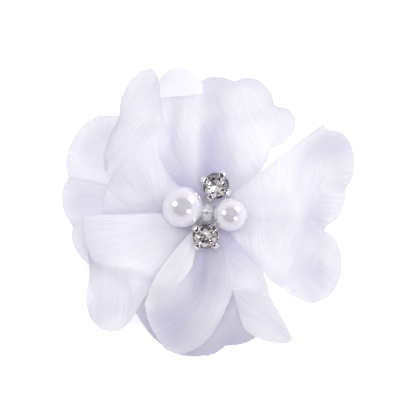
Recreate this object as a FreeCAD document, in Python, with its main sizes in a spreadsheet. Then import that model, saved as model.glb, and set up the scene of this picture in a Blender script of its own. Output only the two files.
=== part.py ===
# Flower hair clip: a pleated fabric flower with pearls and stones on a sprung alligator clip.
#
# Frame, in millimetres: +Z is up, out of the face of the flower. The clip lies on the plane z = 0.
# Y runs along the clip with the toothed tip at +Y and the finger tabs at -Y. The flower's axis is Z.
# The lower arm, the pin and the spring stay; the upper arm and all of the flower turn about the pin.

import FreeCAD
import Part
import Sketcher
import math
import os

V = FreeCAD.Vector
FAR = 40  # beyond the whole object: the outer edge of a sketch that trims everything outside an outline
doc = FreeCAD.newDocument("flower_hair_clip")
sheet = doc.addObject("Spreadsheet::Sheet", "Sheet")

SIZES = [
    # clip
    ("plate_thick", 0.6),
    ("tip_end", 21.5),
    ("tab_end", 18.5),
    ("lower_width", 7.6),
    ("upper_width", 9.0),
    ("tip_width", 6.0),
    ("upper_height", 6.4),
    ("bend_front", 6.0),
    ("bend_back", 9.0),
    ("tab_rise", 2.55),
    ("tip_height", 2.0),
    ("hinge_back", 6.0),
    ("hinge_height", 3.5),
    ("pin_radius", 0.8),
    ("pin_hole_radius", 0.85),
    ("pin_head_radius", 1.3),
    ("pin_head_thick", 0.5),
    ("ear_gap", 0.1),
    ("tooth_count", 5),
    ("tooth_pitch", 1.1),
    ("tooth_tip", 1.94),
    ("rib_count", 3),
    ("rib_pitch", 1.4),
    ("rib_length", 5.0),
    ("slot_width", 2.4),
    ("slot_start", 5.0),
    ("slot_end", 13.0),
    # torsion spring
    ("wire_radius", 0.35),
    ("coil_radius", 1.7),
    ("coil_pitch", 0.8),
    ("coil_whole_turns", 4),
    ("leg_length", 6.2),
    ("leg_down", 6.0),
    ("leg_up", 12.0),
    # glue, felt and the root of the flower
    ("glue_thick", 0.5),
    ("glue_half_length", 8.0),
    ("glue_radius", 3.6),
    ("felt_radius", 9.5),
    ("felt_thick", 1.0),
    ("base_radius", 7.0),
    ("base_thick", 0.8),
    ("core_radius", 2.2),
    ("core_height", 3.1),
    ("tuft_radius", 1.0),
    ("tuft_height", 5.1),
    ("rest_gap", 0.02),
    # petals: four nested bowls, each a little higher and steeper than the last
    ("petal_thick", 0.35),
    ("root_radius", 2.7),
    ("middle_radius", 14.0),
    ("rim_radius", 28.5),
    ("root_height", 9.4),
    ("root_step", 0.55),
    ("middle_height", 10.6),
    ("middle_step", 1.0),
    ("rim_height", 15.5),
    ("rim_step", 1.7),
    # pearls and the thread through them
    ("pearl_large_radius", 3.6),
    ("pearl_small_radius", 2.9),
    ("pearl_bore_radius", 0.4),
    ("pearl_large_x", -4.3),
    ("pearl_large_y", 1.1),
    ("pearl_large_height", 15.4),
    ("pearl_small_x", 4.1),
    ("pearl_small_y", -0.3),
    ("pearl_small_height", 14.9),
    ("thread_radius", 0.15),
    ("thread_bend", 0.6),
    ("thread_drop", 2.4),
    # stones in claw settings
    ("stone_radius", 2.1),
    ("stone_table_radius", 1.2),
    ("stone_crown", 0.75),
    ("stone_girdle", 0.2),
    ("stone_pavilion", 1.3),
    ("stone_culet_radius", 0.3),
    ("stone_sides", 12),
    ("stone_seat", 1.75),
    ("cup_radius", 2.45),
    ("cup_wall", 0.25),
    ("cup_floor", 0.3),
    ("cup_height", 1.5),
    ("claw_count", 4),
    ("claw_width", 0.9),
    ("setting_height", 12.3),
]
for row, (alias, value) in enumerate(SIZES, start=1):
    sheet.set("A%d" % row, alias)
    sheet.set("B%d" % row, str(value))
    sheet.setAlias("B%d" % row, alias)
doc.recompute()


def size(alias):
    return float(sheet.get(alias))


def polar(radius, degrees):
    angle = math.radians(degrees)
    return (radius * math.cos(angle), radius * math.sin(angle))


# ---------------------------------------------------------------- building blocks


def new_body(name):
    body = doc.addObject("PartDesign::Body", name)
    body.Label = name
    return body


def new_sketch(body, name, plane, offset=0.0):
    """A sketch on one of the body's own origin planes, moved along that plane's normal."""
    sketch = body.newObject("Sketcher::SketchObject", name)
    datum = [f for f in body.Origin.OriginFeatures if f.Role == plane][0]
    sketch.AttachmentSupport = [(datum, "")]
    sketch.MapMode = "FlatFace"
    sketch.AttachmentOffset = FreeCAD.Placement(V(0, 0, offset), FreeCAD.Rotation())
    return sketch


def draw(sketch, start, steps):
    """A closed outline. A step of two numbers is a line's end, one of four an arc's middle and end."""
    first = sketch.GeometryCount
    at = V(start[0], start[1], 0)
    for step in steps:
        end = V(step[-2], step[-1], 0)
        if len(step) == 2:
            sketch.addGeometry(Part.LineSegment(at, end), False)
        else:
            sketch.addGeometry(Part.Arc(at, V(step[0], step[1], 0), end), False)
        at = end
    last = sketch.GeometryCount - 1
    for edge in range(first, last):
        join(sketch, edge, edge + 1)
    join(sketch, last, first)


def join(sketch, edge, following):
    """Ties one edge's end to the next edge's near end. An arc may be stored the other way round."""
    a = [(sketch.getPoint(edge, k), k) for k in (1, 2)]
    b = [(sketch.getPoint(following, k), k) for k in (1, 2)]
    near = min((p.distanceToPoint(q), j, k) for p, j in a for q, k in b)
    sketch.addConstraint(Sketcher.Constraint("Coincident", edge, near[1], following, near[2]))


def circle(sketch, x, y, alias):
    """A circle whose radius follows the sheet."""
    edge = sketch.addGeometry(Part.Circle(V(x, y, 0), V(0, 0, 1), size(alias)), False)
    if x or y:
        sketch.addConstraint(Sketcher.Constraint("DistanceX", -1, 1, edge, 3, x))
        sketch.addConstraint(Sketcher.Constraint("DistanceY", -1, 1, edge, 3, y))
    else:
        sketch.addConstraint(Sketcher.Constraint("Coincident", edge, 3, -1, 1))
    radius = sketch.addConstraint(Sketcher.Constraint("Radius", edge, size(alias)))
    sketch.setExpression("Constraints[%d]" % radius, "Sheet." + alias)


def pad(body, name, sketch, length, midplane=False, reverse=False):
    feature = body.newObject("PartDesign::Pad", name)
    feature.Profile = sketch
    feature.Midplane = midplane
    feature.Reversed = reverse
    feature.setExpression("Length", length)
    return feature


def pocket_through(body, name, sketch):
    """Cuts the sketch through everything, on both sides of its plane."""
    feature = body.newObject("PartDesign::Pocket", name)
    feature.Profile = sketch
    feature.Midplane = True
    feature.Length = 2 * FAR
    return feature


def revolve(body, name, sketch, axis="V_Axis"):
    feature = body.newObject("PartDesign::Revolution", name)
    feature.Profile = sketch
    feature.ReferenceAxis = (sketch, [axis])
    feature.Angle = 360
    return feature


def row_pattern(body, name, feature, sketch, spacing, count):
    """Repeats a feature along the sketch's horizontal axis."""
    pattern = body.newObject("PartDesign::LinearPattern", name)
    pattern.Originals = [feature]
    pattern.Direction = (sketch, ["H_Axis"])
    pattern.setExpression("Length", "%s * (%s - 1)" % (spacing, count))
    pattern.setExpression("Occurrences", count)
    body.Tip = pattern
    return pattern


# ---------------------------------------------------------------- lower arm

THICK = size("plate_thick")
TIP = size("tip_end")
TAB = -size("tab_end")
HINGE_Y = -size("hinge_back")
HINGE_Z = size("hinge_height")
LOW = size("lower_width") / 2
UP = size("upper_width") / 2
NARROW = size("tip_width") / 2


def arm_outline(half, taper_start):
    """Seen from above: rounded finger tab, straight sides, a taper to the rounded tip."""
    corner = 1.2
    slant = corner * 0.3
    return (-half, TAB + 3), [
        (-half * 0.72, TAB + 0.8, 0, TAB),
        (half * 0.72, TAB + 0.8, half, TAB + 3),
        (half, taper_start),
        (NARROW, TIP - corner),
        (NARROW - slant, TIP - slant, NARROW - corner, TIP),
        (corner - NARROW, TIP),
        (slant - NARROW, TIP - slant, -NARROW, TIP - corner),
        (-half, taper_start),
        (-half, TAB + 3),
    ]


lower = new_body("lower_arm")
plan = new_sketch(lower, "lower_plan", "XY_Plane")
draw(plan, *arm_outline(LOW, 12))
pad(lower, "lower_plate", plan, "Sheet.plate_thick")

side = new_sketch(lower, "lower_side", "YZ_Plane")
draw(
    side,
    (HINGE_Y - 3.6, THICK / 2),
    [
        (HINGE_Y - 2.2, HINGE_Z),
        (HINGE_Y, HINGE_Z + 2.2, HINGE_Y + 2.2, HINGE_Z),
        (HINGE_Y + 4.4, 1.3),
        (12, 1.1),
        (12, THICK / 2),
        (HINGE_Y - 3.6, THICK / 2),
    ],
)
pad(lower, "lower_ears", side, "Sheet.lower_width", midplane=True)

hollow = new_sketch(lower, "lower_hollow", "YZ_Plane")
draw(
    hollow,
    (HINGE_Y - 6, THICK),
    [(HINGE_Y - 6, 8), (14, 8), (14, THICK), (HINGE_Y - 6, THICK)],
)
trough = lower.newObject("PartDesign::Pocket", "lower_trough")
trough.Profile = hollow
trough.Midplane = True
trough.setExpression("Length", "Sheet.lower_width - 2 * Sheet.plate_thick")

bore = new_sketch(lower, "lower_pin_hole", "YZ_Plane")
circle(bore, HINGE_Y, HINGE_Z, "pin_hole_radius")
pocket_through(lower, "lower_pin_holes", bore)

window = new_sketch(lower, "lower_window", "XY_Plane")
slot = size("slot_width") / 2
near_end = size("slot_start")
far_end = size("slot_end")
draw(
    window,
    (-slot, near_end),
    [
        (0, near_end - slot, slot, near_end),
        (slot, far_end),
        (0, far_end + slot, -slot, far_end),
        (-slot, near_end),
    ],
)
pocket_through(lower, "lower_slot", window)

jaw = new_sketch(lower, "tooth_profile", "XZ_Plane", -TIP)
pitch = size("tooth_pitch")
left = -pitch * (size("tooth_count") - 1) / 2
draw(
    jaw,
    (left - 0.5, THICK / 2),
    [
        (left - 0.5, THICK + 0.1),
        (left - 0.12, size("tooth_tip")),
        (left + 0.12, size("tooth_tip")),
        (left + 0.5, THICK + 0.1),
        (left + 0.5, THICK / 2),
        (left - 0.5, THICK / 2),
    ],
)
tooth = pad(lower, "tooth", jaw, "Sheet.plate_thick")
row_pattern(lower, "teeth", tooth, jaw, "Sheet.tooth_pitch", "Sheet.tooth_count")

rib_plan = new_sketch(lower, "rib_plan", "YZ_Plane")
draw(
    rib_plan,
    (TAB + 2.4, THICK / 2),
    [
        (TAB + 2.4, THICK),
        (TAB + 2.65, THICK + 0.25, TAB + 2.9, THICK),
        (TAB + 2.9, THICK / 2),
        (TAB + 2.4, THICK / 2),
    ],
)
rib = lower.newObject("PartDesign::Pad", "rib")
rib.Profile = rib_plan
rib.Midplane = True
rib.setExpression("Length", "Sheet.rib_length")
row_pattern(lower, "ribs", rib, rib_plan, "Sheet.rib_pitch", "Sheet.rib_count")

# ---------------------------------------------------------------- upper arm

upper = new_body("upper_arm")
FLAT = size("upper_height")
RISE = FLAT + size("tab_rise")
DOWN = size("tip_height")
FRONT = size("bend_front")
BACK = -size("bend_back")
strip = new_sketch(upper, "upper_strip", "YZ_Plane")
draw(
    strip,
    (TAB, RISE),
    [
        (BACK - 1, FLAT + 0.27),
        (BACK, FLAT + 0.07, BACK + 1, FLAT),
        (FRONT, FLAT),
        (FRONT + 2, FLAT - 0.15, FRONT + 4, FLAT - 0.75),
        (TIP - 2, DOWN + 0.15),
        (TIP - 1.2, DOWN + 0.02, TIP, DOWN),
        (TIP, DOWN + THICK),
        (TIP - 1.1, DOWN + THICK + 0.02, TIP - 1.8, DOWN + THICK + 0.15),
        (FRONT + 4.2, FLAT + THICK - 0.75),
        (FRONT + 2.1, FLAT + THICK - 0.15, FRONT, FLAT + THICK),
        (BACK + 1, FLAT + THICK),
        (BACK, FLAT + THICK + 0.07, BACK - 1, FLAT + THICK + 0.27),
        (TAB, RISE + THICK),
        (TAB, RISE),
    ],
)
pad(upper, "upper_plate", strip, "Sheet.upper_width", midplane=True)

lugs = new_sketch(upper, "upper_side", "YZ_Plane")
draw(
    lugs,
    (HINGE_Y - 3.4, FLAT + 0.3),
    [
        (HINGE_Y - 2.1, HINGE_Z),
        (HINGE_Y, HINGE_Z - 2.1, HINGE_Y + 2.1, HINGE_Z),
        (HINGE_Y + 3.6, 5.6),
        (FRONT, 5.9),
        (FRONT, FLAT + 0.3),
        (HINGE_Y - 3.4, FLAT + 0.3),
    ],
)
pad(upper, "upper_ears", lugs, "Sheet.upper_width", midplane=True)

inside = new_sketch(upper, "upper_hollow", "YZ_Plane")
draw(
    inside,
    (HINGE_Y - 4, 0),
    [(HINGE_Y - 4, FLAT), (FRONT + 0.01, FLAT), (FRONT + 0.01, 0), (HINGE_Y - 4, 0)],
)
channel = upper.newObject("PartDesign::Pocket", "upper_channel")
channel.Profile = inside
channel.Midplane = True
channel.setExpression("Length", "Sheet.lower_width + 2 * Sheet.ear_gap")

shape_cut = new_sketch(upper, "upper_plan", "XY_Plane")
draw(shape_cut, *arm_outline(UP, 8))
draw(shape_cut, (-FAR, -FAR), [(FAR, -FAR), (FAR, FAR), (-FAR, FAR), (-FAR, -FAR)])
pocket_through(upper, "upper_trim", shape_cut)

bore = new_sketch(upper, "upper_pin_hole", "YZ_Plane")
circle(bore, HINGE_Y, HINGE_Z, "pin_hole_radius")
pocket_through(upper, "upper_pin_holes", bore)

# ---------------------------------------------------------------- hinge pin

pin = new_body("hinge_pin")
rod = new_sketch(pin, "pin_section", "YZ_Plane")
circle(rod, 0, 0, "pin_radius")
pad(pin, "pin_rod", rod, "Sheet.upper_width + 4 * Sheet.ear_gap", midplane=True)
face = UP + size("ear_gap")
head = new_sketch(pin, "pin_head_profile", "XY_Plane")
dome = face + size("pin_head_thick")
flare = size("pin_head_radius")
for way in (1, -1):
    draw(
        head,
        (way * (face - 0.2), 0),
        [
            (way * (face - 0.2), size("pin_radius") * 0.9),
            (way * face, size("pin_radius") * 0.9),
            (way * face, flare),
            (way * (face + 0.25), flare),
            (way * dome, flare * 0.6),
            (way * dome, 0),
            (way * (face - 0.2), 0),
        ],
    )
revolve(pin, "pin_heads", head, "H_Axis")
pin.setExpression("Placement.Base.y", "-Sheet.hinge_back")
pin.setExpression("Placement.Base.z", "Sheet.hinge_height")

# ---------------------------------------------------------------- torsion spring
# A helix about X with a straight leg at each end. Neither a sketch nor a primitive holds the whole
# path, so it is a swept wire with its sizes read from the sheet.


def spring_shape():
    radius = size("coil_radius")
    wire = size("wire_radius")
    pitch = size("coil_pitch")
    first = -90 + size("leg_down")
    last = 90 - size("leg_up")
    turns = size("coil_whole_turns") + (last - first) / 360
    half = pitch * turns / 2
    helix = Part.makeHelix(pitch, 2 * half, radius)
    helix.rotate(V(0, 0, 0), V(0, 0, 1), first)
    # the helix climbs Z from +X; these turns lay its axis along X with the angle running from Y to Z
    helix.translate(V(0, 0, -half))
    helix.rotate(V(0, 0, 0), V(1, 1, 1), 120)
    begin = V(-half, *polar(radius, first))
    end = V(half, *polar(radius, last))
    # each leg leaves along the helix's own tangent, so the wire has no kink
    climb = pitch / (2 * math.pi * radius)
    into = V(climb, *polar(1, first + 90)).normalize()
    out = V(climb, *polar(1, last + 90)).normalize()
    foot = begin - into * size("leg_length")
    leg_one = Part.makeLine(foot, begin)
    leg_two = Part.makeLine(end, end + out * size("leg_length"))
    path = Part.Wire([leg_one] + helix.Edges + [leg_two])
    section = Part.Wire([Part.makeCircle(wire, foot, into)])
    return path.makePipeShell([section], True, False).Solids[0]


spring = doc.addObject("Part::Feature", "torsion_spring")
spring.Label = "torsion_spring"
spring.Shape = spring_shape()
spring.Placement = FreeCAD.Placement(V(0, HINGE_Y, HINGE_Z), FreeCAD.Rotation())

# ---------------------------------------------------------------- glue, felt, root of the flower

glue = new_body("glue_pad")
blob = new_sketch(glue, "glue_outline", "XY_Plane")
long_half = size("glue_half_length")
short_half = size("glue_radius")
draw(
    blob,
    (-short_half, -long_half + short_half),
    [
        (0, -long_half, short_half, -long_half + short_half),
        (short_half, long_half - short_half),
        (0, long_half, -short_half, long_half - short_half),
        (-short_half, -long_half + short_half),
    ],
)
pad(glue, "glue_bead", blob, "Sheet.glue_thick")
glue.setExpression("Placement.Base.z", "Sheet.upper_height + Sheet.plate_thick + Sheet.rest_gap")

felt = new_body("felt_backing")
disc = new_sketch(felt, "felt_outline", "XY_Plane")
circle(disc, 0, 0, "felt_radius")
pad(felt, "felt_disc", disc, "Sheet.felt_thick")
felt.setExpression(
    "Placement.Base.z",
    "Sheet.upper_height + Sheet.plate_thick + Sheet.glue_thick + 2 * Sheet.rest_gap",
)

base = new_body("flower_base")
root = new_sketch(base, "base_profile", "XZ_Plane")
wide = size("base_radius")
deep = size("base_thick")
core = size("core_radius")
tall = size("core_height")
tuft = size("tuft_radius")
crown = size("tuft_height")
draw(
    root,
    (0, 0),
    [
        (wide - 0.3, 0),
        (wide, deep / 2, wide - 0.3, deep),
        (core + 0.3, deep),
        (core, deep + 0.3),
        (core, tall - 0.6),
        (core - 0.18, tall - 0.18, core - 0.6, tall),
        (tuft, tall),
        (tuft, crown - 0.3),
        (tuft - 0.09, crown - 0.09, tuft - 0.3, crown),
        (0, crown),
        (0, 0),
    ],
)
revolve(base, "base_round", root)
base.setExpression(
    "Placement.Base.z",
    "Sheet.upper_height + Sheet.plate_thick + Sheet.glue_thick + Sheet.felt_thick + 3 * Sheet.rest_gap",
)

# ---------------------------------------------------------------- petals
# Name, bowl (0 is the lowest), where the rim starts, then each lobe as the middle of its scallop and the
# notch that ends it. All are a radius in millimetres and an angle in degrees from +X towards +Y.

PETALS = [
    ("petal_right", 2, (16.5, -47), [(25.5, -30, 20.8, -7), (23.3, 1, 24.5, 9), (27.6, 24, 25.3, 37)]),
    (
        "petal_top",
        2,
        (17, 38),
        [(22.8, 49, 22.5, 57), (24.5, 68, 23.7, 78), (24.2, 86, 23.5, 93), (25.9, 101, 24.6, 109)],
    ),
    ("petal_top_left", 1, (23.5, 106), [(27.2, 118, 22.6, 133), (21.4, 146, 18.8, 159)]),
    ("petal_left_upper", 0, (22.8, 130), [(26.4, 150, 25, 166)]),
    ("petal_left_back", 1, (24.6, 162), [(25.6, 174, 23.8, 186), (24.1, 195, 21.8, 210)]),
    ("petal_left_front", 3, (17, 124), [(16.2, 140, 18, 157), (18.6, 168, 17.6, 177)]),
    ("petal_left_lower", 2, (20.5, 179), [(21.6, 192, 20, 207), (27.2, 222, 21.5, 236)]),
    ("petal_bottom_front", 3, (19.5, 237), [(25.2, 253, 23.5, 266), (20.4, 275, 14.5, 288)]),
    ("petal_bottom_back", 0, (22.5, 235), [(25.3, 260, 23.4, 278), (23.9, 285, 22.5, 293)]),
    ("petal_bottom_right", 1, (19.2, 288), [(26.4, 298, 25.5, 306)]),
]


def bowl_profile(sketch, level):
    """Half of a bowl of even thickness: two arcs about one centre, joined at the root and the rim."""
    marks = []
    for radius, height in (("root_radius", "root"), ("middle_radius", "middle"), ("rim_radius", "rim")):
        marks.append(V(size(radius), size(height + "_height") + level * size(height + "_step"), 0))
    arc = Part.Arc(*marks).toShape().Curve
    centre = arc.Center
    inner = [centre + (p - centre) * ((arc.Radius - size("petal_thick")) / arc.Radius) for p in marks]
    draw(
        sketch,
        (marks[0].x, marks[0].y),
        [
            (marks[1].x, marks[1].y, marks[2].x, marks[2].y),
            (inner[2].x, inner[2].y),
            (inner[1].x, inner[1].y, inner[0].x, inner[0].y),
            (marks[0].x, marks[0].y),
        ],
    )


def petal_outline(start, lobes):
    """A fan from the root of the flower to a scalloped rim."""
    neck = size("root_radius") - 0.2
    first = start[1] + 4
    last = lobes[-1][3] - 4
    steps = [polar(*start)]
    for tip_radius, tip_angle, notch_radius, notch_angle in lobes:
        steps.append(polar(tip_radius, tip_angle) + polar(notch_radius, notch_angle))
    steps.append(polar(neck, last))
    steps.append(polar(neck, (first + last) / 2) + polar(neck, first))
    return polar(neck, first), steps


for name, level, start, lobes in PETALS:
    petal = new_body(name)
    section = new_sketch(petal, name + "_section", "XZ_Plane")
    bowl_profile(section, level)
    revolve(petal, name + "_bowl", section)
    fan = new_sketch(petal, name + "_fan", "XY_Plane")
    draw(fan, *petal_outline(start, lobes))
    draw(fan, (-FAR, -FAR), [(FAR, -FAR), (FAR, FAR), (-FAR, FAR), (-FAR, -FAR)])
    pocket_through(petal, name + "_cut", fan)

# ---------------------------------------------------------------- pearls and their thread

LARGE = V(size("pearl_large_x"), size("pearl_large_y"), size("pearl_large_height"))
SMALL = V(size("pearl_small_x"), size("pearl_small_y"), size("pearl_small_height"))
ALONG = (SMALL - LARGE).normalize()
LEVEL = FreeCAD.Rotation(V(1, 0, 0), ALONG)


def pearl(name, radius_alias, centre):
    """A ball with a bore that lines up with the other pearl's."""
    ball = doc.addObject("Part::Sphere", name + "_ball")
    ball.setExpression("Radius", "Sheet." + radius_alias)
    drill = doc.addObject("Part::Cylinder", name + "_drill")
    drill.setExpression("Radius", "Sheet.pearl_bore_radius")
    drill.Height = 4 * size(radius_alias)
    start = V(-2 * size(radius_alias), 0, 0)
    drill.Placement = FreeCAD.Placement(start, FreeCAD.Rotation(V(0, 0, 1), V(1, 0, 0)))
    cut = doc.addObject("Part::Cut", name)
    cut.Base = ball
    cut.Tool = drill
    cut.Label = name
    cut.Placement = FreeCAD.Placement(centre, LEVEL)
    return cut


pearls = [
    pearl("pearl_large", "pearl_large_radius", LARGE),
    pearl("pearl_small", "pearl_small_radius", SMALL),
]

thread = new_body("bead_thread")
reach = (SMALL - LARGE).Length / 2
west = -reach - size("pearl_large_radius") - 0.75
east = reach + size("pearl_small_radius") + 0.75
turn = size("thread_bend")
drop = size("thread_drop")
knee = turn * (1 - math.sqrt(0.5))
ring = new_sketch(thread, "thread_section", "XY_Plane", -drop)
circle(ring, west, 0, "thread_radius")
route = new_sketch(thread, "thread_route", "XZ_Plane")
corners = [
    Part.LineSegment(V(west, -drop, 0), V(west, -turn, 0)),
    Part.Arc(V(west, -turn, 0), V(west + knee, -knee, 0), V(west + turn, 0, 0)),
    Part.LineSegment(V(west + turn, 0, 0), V(east - turn, 0, 0)),
    Part.Arc(V(east - turn, 0, 0), V(east - knee, -knee, 0), V(east, -turn, 0)),
    Part.LineSegment(V(east, -turn, 0), V(east, -drop, 0)),
]
for corner in corners:
    route.addGeometry(corner, False)
for edge in range(4):
    join(route, edge, edge + 1)
stitch = thread.newObject("PartDesign::AdditivePipe", "thread_sweep")
stitch.Profile = ring
stitch.Spine = route
stitch.Transition = "Transformed"
thread.Placement = FreeCAD.Placement((LARGE + SMALL) * 0.5, LEVEL)

# ---------------------------------------------------------------- stones in claw settings


def polygon(sketch, radius, count):
    corners = [polar(radius, 360 * k / count) for k in range(count)]
    draw(sketch, corners[0], corners[1:] + corners[:1])


def loft(body, name, bottom, top):
    feature = body.newObject("PartDesign::AdditiveLoft", name)
    feature.Profile = bottom
    feature.Sections = [top]
    feature.Ruled = True
    return feature


def stone(name):
    """A round faceted stone: flat table, crown, thin girdle and a pavilion that ends in a small flat."""
    body = new_body(name)
    sides = int(size("stone_sides"))
    seat = size("stone_seat")
    girdle = size("stone_girdle")
    crown = size("stone_crown")
    radius = size("stone_radius")
    band = new_sketch(body, name + "_girdle", "XY_Plane", seat)
    polygon(band, radius, sides)
    pad(body, name + "_band", band, "Sheet.stone_girdle")
    rim = new_sketch(body, name + "_crown_rim", "XY_Plane", seat + girdle)
    polygon(rim, radius, sides)
    table = new_sketch(body, name + "_table", "XY_Plane", seat + girdle + crown)
    polygon(table, size("stone_table_radius"), sides)
    loft(body, name + "_crown", rim, table)
    below = new_sketch(body, name + "_pavilion_rim", "XY_Plane", seat)
    polygon(below, radius, sides)
    culet = new_sketch(body, name + "_culet", "XY_Plane", seat - size("stone_pavilion"))
    polygon(culet, size("stone_culet_radius"), sides)
    loft(body, name + "_pavilion", below, culet)
    return body


def setting(name):
    """A round cup with claws folded over the edge of the stone."""
    body = new_body(name)
    outer = size("cup_radius")
    inner = outer - size("cup_wall")
    floor = size("cup_floor")
    top = size("cup_height")
    profile = new_sketch(body, name + "_profile", "XZ_Plane")
    draw(
        profile,
        (0, 0),
        [
            (outer * 0.7, 0),
            (outer * 0.92, 0.25, outer, 0.9),
            (outer, top),
            (inner, top),
            (inner, 0.95),
            (inner * 0.9, 0.45, outer * 0.62, floor),
            (0, floor),
            (0, 0),
        ],
    )
    revolve(body, name + "_cup", profile)
    hook = new_sketch(body, name + "_claw_side", "XZ_Plane")
    edge = size("stone_radius")
    crest = size("stone_seat") + size("stone_girdle")
    draw(
        hook,
        (outer, top - 0.7),
        [
            (outer, crest + 0.25),
            (outer - 0.15, crest + 0.55, edge - 0.35, crest + 0.6),
            (edge - 0.45, crest + 0.48),
            (edge + 0.08, crest + 0.1),
            (edge + 0.08, top - 0.7),
            (outer, top - 0.7),
        ],
    )
    claw = pad(body, name + "_claw", hook, "Sheet.claw_width", midplane=True)
    ring = body.newObject("PartDesign::PolarPattern", name + "_claws")
    ring.Originals = [claw]
    ring.Axis = (profile, ["V_Axis"])
    ring.Angle = 360
    ring.setExpression("Occurrences", "Sheet.claw_count")
    body.Tip = ring
    return body


SET_Z = size("setting_height")
# where the foot of each setting stands, its turn about its own axis, and its tilt about X, in degrees
SEATS = [
    ("upper", V(1.6, 4.9, SET_Z), 62, 4),
    ("lower", V(-0.2, -3.6, SET_Z + 0.4), 48, 14),
]
for which, place, spin, tilt in SEATS:
    turned = FreeCAD.Rotation(V(1, 0, 0), tilt) * FreeCAD.Rotation(V(0, 0, 1), spin)
    for body in (setting("claw_setting_" + which), stone("rhinestone_" + which)):
        body.Placement = FreeCAD.Placement(place, turned)

# ---------------------------------------------------------------- check and export

doc.recompute()
NODES = ["lower_arm", "hinge_pin", "torsion_spring", "upper_arm", "glue_pad", "felt_backing", "flower_base"]
NODES += [petal[0] for petal in PETALS]
NODES += ["pearl_large", "pearl_small", "bead_thread"]
NODES += ["claw_setting_upper", "rhinestone_upper", "claw_setting_lower", "rhinestone_lower"]

for item in doc.Objects:
    if "Invalid" in item.State or "Error" in item.State:
        raise RuntimeError("%s did not build: %s" % (item.Name, item.State))

os.makedirs("parts", exist_ok=True)
for name in NODES:
    item = doc.getObjectsByLabel(name)[0]
    shape = item.Shape
    if shape.isNull() or not shape.isValid() or len(shape.Solids) != 1:
        raise RuntimeError("%s isn't one valid solid" % name)
    shape.exportStep("parts/%s.step" % name)
    box = shape.BoundBox
    print(
        "%-20s %9.3f mm3  x %7.2f %7.2f  y %7.2f %7.2f  z %6.2f %6.2f"
        % (name, shape.Volume, box.XMin, box.XMax, box.YMin, box.YMax, box.ZMin, box.ZMax)
    )
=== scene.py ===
import math

import bpy
import numpy as np
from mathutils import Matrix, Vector, noise


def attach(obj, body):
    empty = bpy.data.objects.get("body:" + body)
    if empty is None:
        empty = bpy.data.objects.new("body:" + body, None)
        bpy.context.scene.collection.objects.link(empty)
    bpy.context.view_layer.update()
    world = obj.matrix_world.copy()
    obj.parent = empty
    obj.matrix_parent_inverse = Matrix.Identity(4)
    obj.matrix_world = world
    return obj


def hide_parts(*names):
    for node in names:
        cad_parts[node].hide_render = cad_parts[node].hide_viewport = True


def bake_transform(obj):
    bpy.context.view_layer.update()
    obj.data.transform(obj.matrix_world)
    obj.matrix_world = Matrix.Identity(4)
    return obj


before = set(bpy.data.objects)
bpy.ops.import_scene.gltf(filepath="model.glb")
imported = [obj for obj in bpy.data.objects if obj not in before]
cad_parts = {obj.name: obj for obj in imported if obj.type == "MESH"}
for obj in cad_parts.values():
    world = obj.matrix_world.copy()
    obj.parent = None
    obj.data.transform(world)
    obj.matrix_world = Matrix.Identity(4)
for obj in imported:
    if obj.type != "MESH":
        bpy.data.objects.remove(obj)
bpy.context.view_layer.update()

MM = 0.001  # metres
FLOWER = "upper_jaw"  # the body that turns about the pin and carries the flower

# ---------------------------------------------------------------- meshes


def spline(points, steps):
    """A smooth curve through the points, evenly spread along its own length."""
    p = np.array(points, float)
    if len(p) == 2:
        return p[0] + (p[1] - p[0]) * np.linspace(0, 1, steps)[:, None]
    ends = np.vstack([2 * p[0] - p[1], p, 2 * p[-1] - p[-2]])
    fine = []
    t = np.linspace(0, 1, 24, endpoint=False)[:, None]
    for k in range(len(p) - 1):
        a, b, c, d = ends[k : k + 4]
        squared = (2 * a - 5 * b + 4 * c - d) * t**2
        cubed = (3 * b - a - 3 * c + d) * t**3
        fine.append(0.5 * (2 * b + (c - a) * t + squared + cubed))
    fine = np.vstack(fine + [p[-1:]])
    along = np.concatenate([[0], np.cumsum(np.linalg.norm(np.diff(fine, axis=0), axis=1))])
    want = np.linspace(0, along[-1], steps)
    return np.stack([np.interp(want, along, fine[:, k]) for k in range(p.shape[1])], axis=1)


def surface(rows, across, up):
    """A smooth sheet through rows of points, as an array of up by across points in millimetres."""
    strips = np.array([spline(row, across) for row in rows])
    columns = [spline(strips[:, k], up) for k in range(across)]
    return np.array(columns).transpose(1, 0, 2)


def normals_of(grid):
    """Directions square to a sheet at each of its points, on the side that faces up."""
    n = np.cross(np.gradient(grid, axis=1), np.gradient(grid, axis=0))
    n /= np.maximum(np.linalg.norm(n, axis=2, keepdims=True), 1e-9)
    return n if n[:, :, 2].mean() > 0 else -n


def lumps(grid, size, seed):
    """Smooth noise from -1 to 1 over a grid of points, with lumps about size millimetres across."""
    flat = grid.reshape(-1, 3) / size + seed * 17.3
    return np.array([noise.noise(Vector(p)) for p in flat]).reshape(grid.shape[:2])


def crinkle(across, along, seed):
    """Noise in the cloth's own directions, so that creases run along the pleats."""
    flat = np.stack([across.reshape(-1), along.reshape(-1), np.full(across.size, seed * 7.7)], axis=1)
    return np.array([noise.noise(Vector(p)) for p in flat]).reshape(across.shape)


def blurred(field, tall, wide):
    """A field averaged twice over a window, with its border carried outwards."""
    for _ in range(2):
        for axis, reach in ((0, tall), (1, wide)):
            ends = [(0, 0), (0, 0)]
            ends[axis] = (reach, reach)
            total = np.cumsum(np.pad(field, ends, mode="edge"), axis=axis)
            total = np.concatenate([np.zeros_like(np.take(total, [0], axis=axis)), total], axis=axis)
            size = field.shape[axis]
            near, far = np.arange(size), np.arange(size) + 2 * reach + 1
            field = (np.take(total, far, axis=axis) - np.take(total, near, axis=axis)) / (2 * reach + 1)
    return field


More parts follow.
